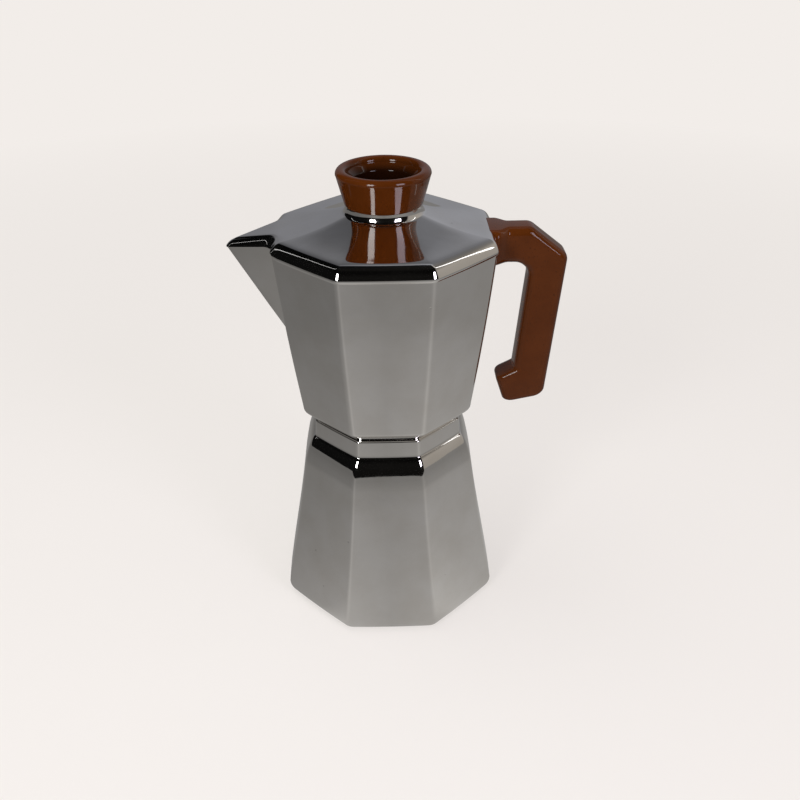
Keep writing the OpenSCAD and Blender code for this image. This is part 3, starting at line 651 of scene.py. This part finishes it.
world = bpy.data.worlds.new("studio_room")
bpy.context.scene.world = world
world.use_nodes = True
tree = world.node_tree
tree.nodes.clear()
path = add(tree, "ShaderNodeLightPath")
direction = add(tree, "ShaderNodeTexCoord")
height = add(tree, "ShaderNodeSeparateXYZ", {}, {0: direction.outputs["Generated"]})
room_round = add(tree, "ShaderNodeValToRGB", {},
                 {0: bearing(tree, direction.outputs["Generated"])})   # the mirrored room by bearing
set_stops(room_round, [(0.0, 0.31, "#F4F6FF"), (1.0, 0.31, "#F4F6FF"), (0.06, 0.22, "#F4F6FF"), (0.20, 0.20),
                       (0.66, 0.36, "#FFF6EA"), (0.80, 0.42, "#FFF6EA"), (0.93, 0.42, "#F4F6FF")])
room_up = add(tree, "ShaderNodeValToRGB", {}, {0: height.outputs["Z"]})          # and by height
set_stops(room_up, [(0.0, 0.85), (1.0, 1.1), (0.42, 0.95), (0.60, 0.50), (0.72, 0.37), (0.84, 0.55),
                    (0.92, 1.1)])
facing = add(tree, "ShaderNodeVectorMath", {"operation": "DOT_PRODUCT", 1: (0.574, 0.819, 0.0)},
             {0: direction.outputs["Generated"]})            # along the wall that runs round to the right
open_side = add(tree, "ShaderNodeMapRange",
                {"From Min": 0.26, "From Max": 0.34, "To Min": 0.02, "To Max": 1.0},
                {"Value": facing.outputs["Value"]})
room_level = add(tree, "ShaderNodeMath", {"operation": "MULTIPLY"},
                 {0: room_up.outputs["Color"], 1: open_side.outputs["Result"]})
room = add(tree, "ShaderNodeBackground", {},
           {"Color": room_round.outputs["Color"], "Strength": room_level.outputs[0]})
ambient = add(tree, "ShaderNodeBackground", {"Color": linear("#F4F1EE"), "Strength": 0.5})
backdrop = add(tree, "ShaderNodeBackground", {"Color": PALE, "Strength": 1.0})
around = add(tree, "ShaderNodeMixShader", {}, {0: path.outputs["Is Glossy Ray"], 1: ambient.outputs[0],
                                               2: room.outputs[0]})
shown = add(tree, "ShaderNodeMixShader", {}, {0: path.outputs["Is Camera Ray"], 1: around.outputs[0],
                                              2: backdrop.outputs[0]})
add(tree, "ShaderNodeOutputWorld", {}, {"Surface": shown.outputs[0]})


def softbox(name, at, towards, size, power, colour="#FFFFFF", mirrored=True):
    """A soft rectangular lamp turned towards a point."""
    lamp = bpy.data.lights.new(name, "AREA")
    lamp.shape = "RECTANGLE"
    lamp.size, lamp.size_y = size
    lamp.energy = power
    lamp.color = linear(colour)[:3]
    holder = bpy.data.objects.new(name, lamp)
    bpy.context.scene.collection.objects.link(holder)
    holder.location = at
    holder.visible_glossy = mirrored
    holder.rotation_euler = (Vector(towards) - Vector(at)).to_track_quat("-Z", "Y").to_euler()


# Two windows in front, a thin rail of light at each side, and silk overhead that nothing mirrors.
softbox("left_window", (-0.62, -1.02, 0.78), (0, 0, 0.2), (0.34, 0.6), 8.0)
softbox("right_window", (0.80, -0.92, 0.75), (0, 0, 0.2), (0.42, 0.6), 6.5, "#E6E0F0")
softbox("right_rail", (0.95, 0.12, 0.98), (0, 0, 0.25), (0.05, 1.0), 0.3)
softbox("left_rail", (-0.95, 0.2, 0.95), (0, 0, 0.25), (0.03, 0.9), 0.07)
softbox("overhead_silk", (-0.45, 0.1, 1.4), (0, 0, 0.1), (0.9, 0.9), 5.5, mirrored=False)

camera_data = bpy.data.cameras.new("studio_camera")
camera_data.sensor_width = 36.0
camera_data.lens = 42.929
camera_data.shift_x = 0.015596
camera_data.shift_y = -0.026418
camera = bpy.data.objects.new("studio_camera", camera_data)
bpy.context.scene.collection.objects.link(camera)
bpy.context.scene.camera = camera
azimuth, elevation, roll = (math.radians(a) for a in (-0.3632, 29.3005, -0.9038))
back = np.array([math.sin(azimuth) * math.cos(elevation), -math.cos(azimuth) * math.cos(elevation),
                 math.sin(elevation)])
right = unit(np.cross(-back, [0, 0, 1]))
up = np.cross(right, -back)
right, up = math.cos(roll) * right + math.sin(roll) * up, -math.sin(roll) * right + math.cos(roll) * up
camera_at = (-0.00278, -0.53374, 0.45103)
camera.matrix_world = Matrix([*zip(right, up, back, camera_at), (0, 0, 0, 1)])

bpy.context.scene.view_settings.view_transform = "Standard"
